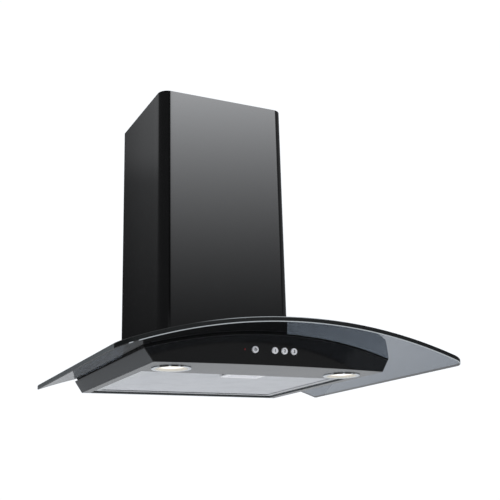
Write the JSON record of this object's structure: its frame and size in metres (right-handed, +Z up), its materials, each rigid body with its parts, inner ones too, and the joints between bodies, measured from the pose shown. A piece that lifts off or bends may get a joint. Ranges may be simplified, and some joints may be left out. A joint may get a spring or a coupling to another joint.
{
  "type": "range hood",
  "caption": "Wall range hood with a bent glass canopy, slim black body, telescopic chimney, round lamps and a grease filter.",
  "frame": {"origin": "centre of the hood on the wall plane, level with the underside of the body", "axes": "+X to the right of someone facing the hood, +Y into the wall, +Z up"},
  "size_m": [0.6, 0.52, 0.5578],
  "materials": {
    "black_enamel": "gloss",
    "black_coated": "satin",
    "grey_coated": "satin",
    "galvanised": "spangled, dull",
    "steel": "fine brushed",
    "screw_steel": "zinc plated",
    "smoked_glass": "clear, faintly grey",
    "rubber": "matte",
    "aluminium": "satin",
    "aluminium_mesh": "expanded mesh layers",
    "chrome": "polished",
    "button_silver": "metallised",
    "lens_glass": "frosted",
    "bulb": "lit",
    "red_lens": "translucent",
    "grey_plastic": "fine grain",
    "black_plastic": "fine grain",
    "white_plastic": "fine grain",
    "motor_metal": "satin"
  },
  "bodies": {
    "hood": {"body_shell": "grey_coated", "bottom_panel": "grey_coated", "front_fascia": "black_enamel", "body_top_plate": "black_coated", "glass_gasket": "rubber", "glass_canopy": "smoked_glass", "top_plate_screws": "screw_steel", "fascia_screws": "screw_steel", "switch_block": "black_plastic", "indicator_lens": "red_lens", "lamp_bezel_left": "chrome", "lamp_bezel_right": "chrome", "lamp_lens_left": "lens_glass", "lamp_lens_right": "lens_glass", "lamp_bulb_left": "bulb", "lamp_bulb_right": "bulb", "lamp_housing_left": "steel", "lamp_housing_right": "steel", "chimney_lower": "black_enamel", "motor_box": "galvanised", "motor_box_screws": "screw_steel", "glass_clamps": "steel", "glass_clamp_pads": "rubber", "glass_clamp_screws": "screw_steel", "scroll_left": "black_plastic", "scroll_right": "black_plastic", "motor_body": "motor_metal", "motor_bracket": "galvanised", "motor_bracket_screws": "screw_steel", "run_capacitor": "white_plastic", "capacitor_clip": "steel", "terminal_box": "grey_plastic", "terminal_cover": "grey_plastic", "cable_gland": "black_plastic", "outlet_collar": "black_plastic", "damper_pin": "steel"},
    "speed_1_button": {"button_speed_1": "button_silver"},
    "speed_2_button": {"button_speed_2": "button_silver"},
    "speed_3_button": {"button_speed_3": "button_silver"},
    "light_button": {"button_light": "button_silver"},
    "filter": {"filter_frame": "aluminium", "filter_mesh": "aluminium_mesh", "filter_handle": "button_silver"},
    "latch": {"filter_latch": "button_silver"},
    "upper_chimney": {"chimney_upper": "black_coated", "chimney_wall_bracket": "galvanised", "chimney_bracket_screws": "screw_steel"},
    "blower_wheel": {"impeller_wheel": "white_plastic", "motor_shaft": "steel"},
    "front_flap": {"damper_flap_front": "black_plastic"},
    "rear_flap": {"damper_flap_rear": "black_plastic"}
  },
  "joints": [
    {"name": "light_button_press", "type": "slide", "parent": "hood", "child": "light_button", "axis": [0, 1, 0], "range_m": [0, 0.0018], "stiffness_N_per_m": 200},
    {"name": "speed_1_button_press", "type": "slide", "parent": "hood", "child": "speed_1_button", "axis": [0, 1, 0], "range_m": [0, 0.0018], "stiffness_N_per_m": 200},
    {"name": "speed_2_button_press", "type": "slide", "parent": "hood", "child": "speed_2_button", "axis": [0, 1, 0], "range_m": [0, 0.0018], "stiffness_N_per_m": 200},
    {"name": "speed_3_button_press", "type": "slide", "parent": "hood", "child": "speed_3_button", "axis": [0, 1, 0], "range_m": [0, 0.0018], "stiffness_N_per_m": 200},
    {"name": "filter_swing", "type": "hinge", "parent": "hood", "child": "filter", "pos_m": [0, -0.016, 0.0075], "axis": [1, 0, 0], "range_deg": [0, 75]},
    {"name": "latch_pull", "type": "slide", "parent": "filter", "child": "latch", "axis": [0, 1, 0], "range_m": [0, 0.006], "stiffness_N_per_m": 150},
    {"name": "upper_chimney_slide", "type": "slide", "parent": "hood", "child": "upper_chimney", "axis": [0, 0, 1], "range_m": [0, 0.34]},
    {"name": "wheel_spin", "type": "hinge", "parent": "hood", "child": "blower_wheel", "pos_m": [0, -0.11215, 0.14977], "axis": [1, 0, 0], "continuous": true},
    {"name": "front_flap_swing", "type": "hinge", "parent": "hood", "child": "front_flap", "pos_m": [0, -0.092, 0.2675], "axis": [-1, 0, 0], "range_deg": [0, 75]},
    {"name": "rear_flap_swing", "type": "hinge", "parent": "hood", "child": "rear_flap", "pos_m": [0, -0.092, 0.2675], "axis": [1, 0, 0], "range_deg": [0, 75]}
  ]
}
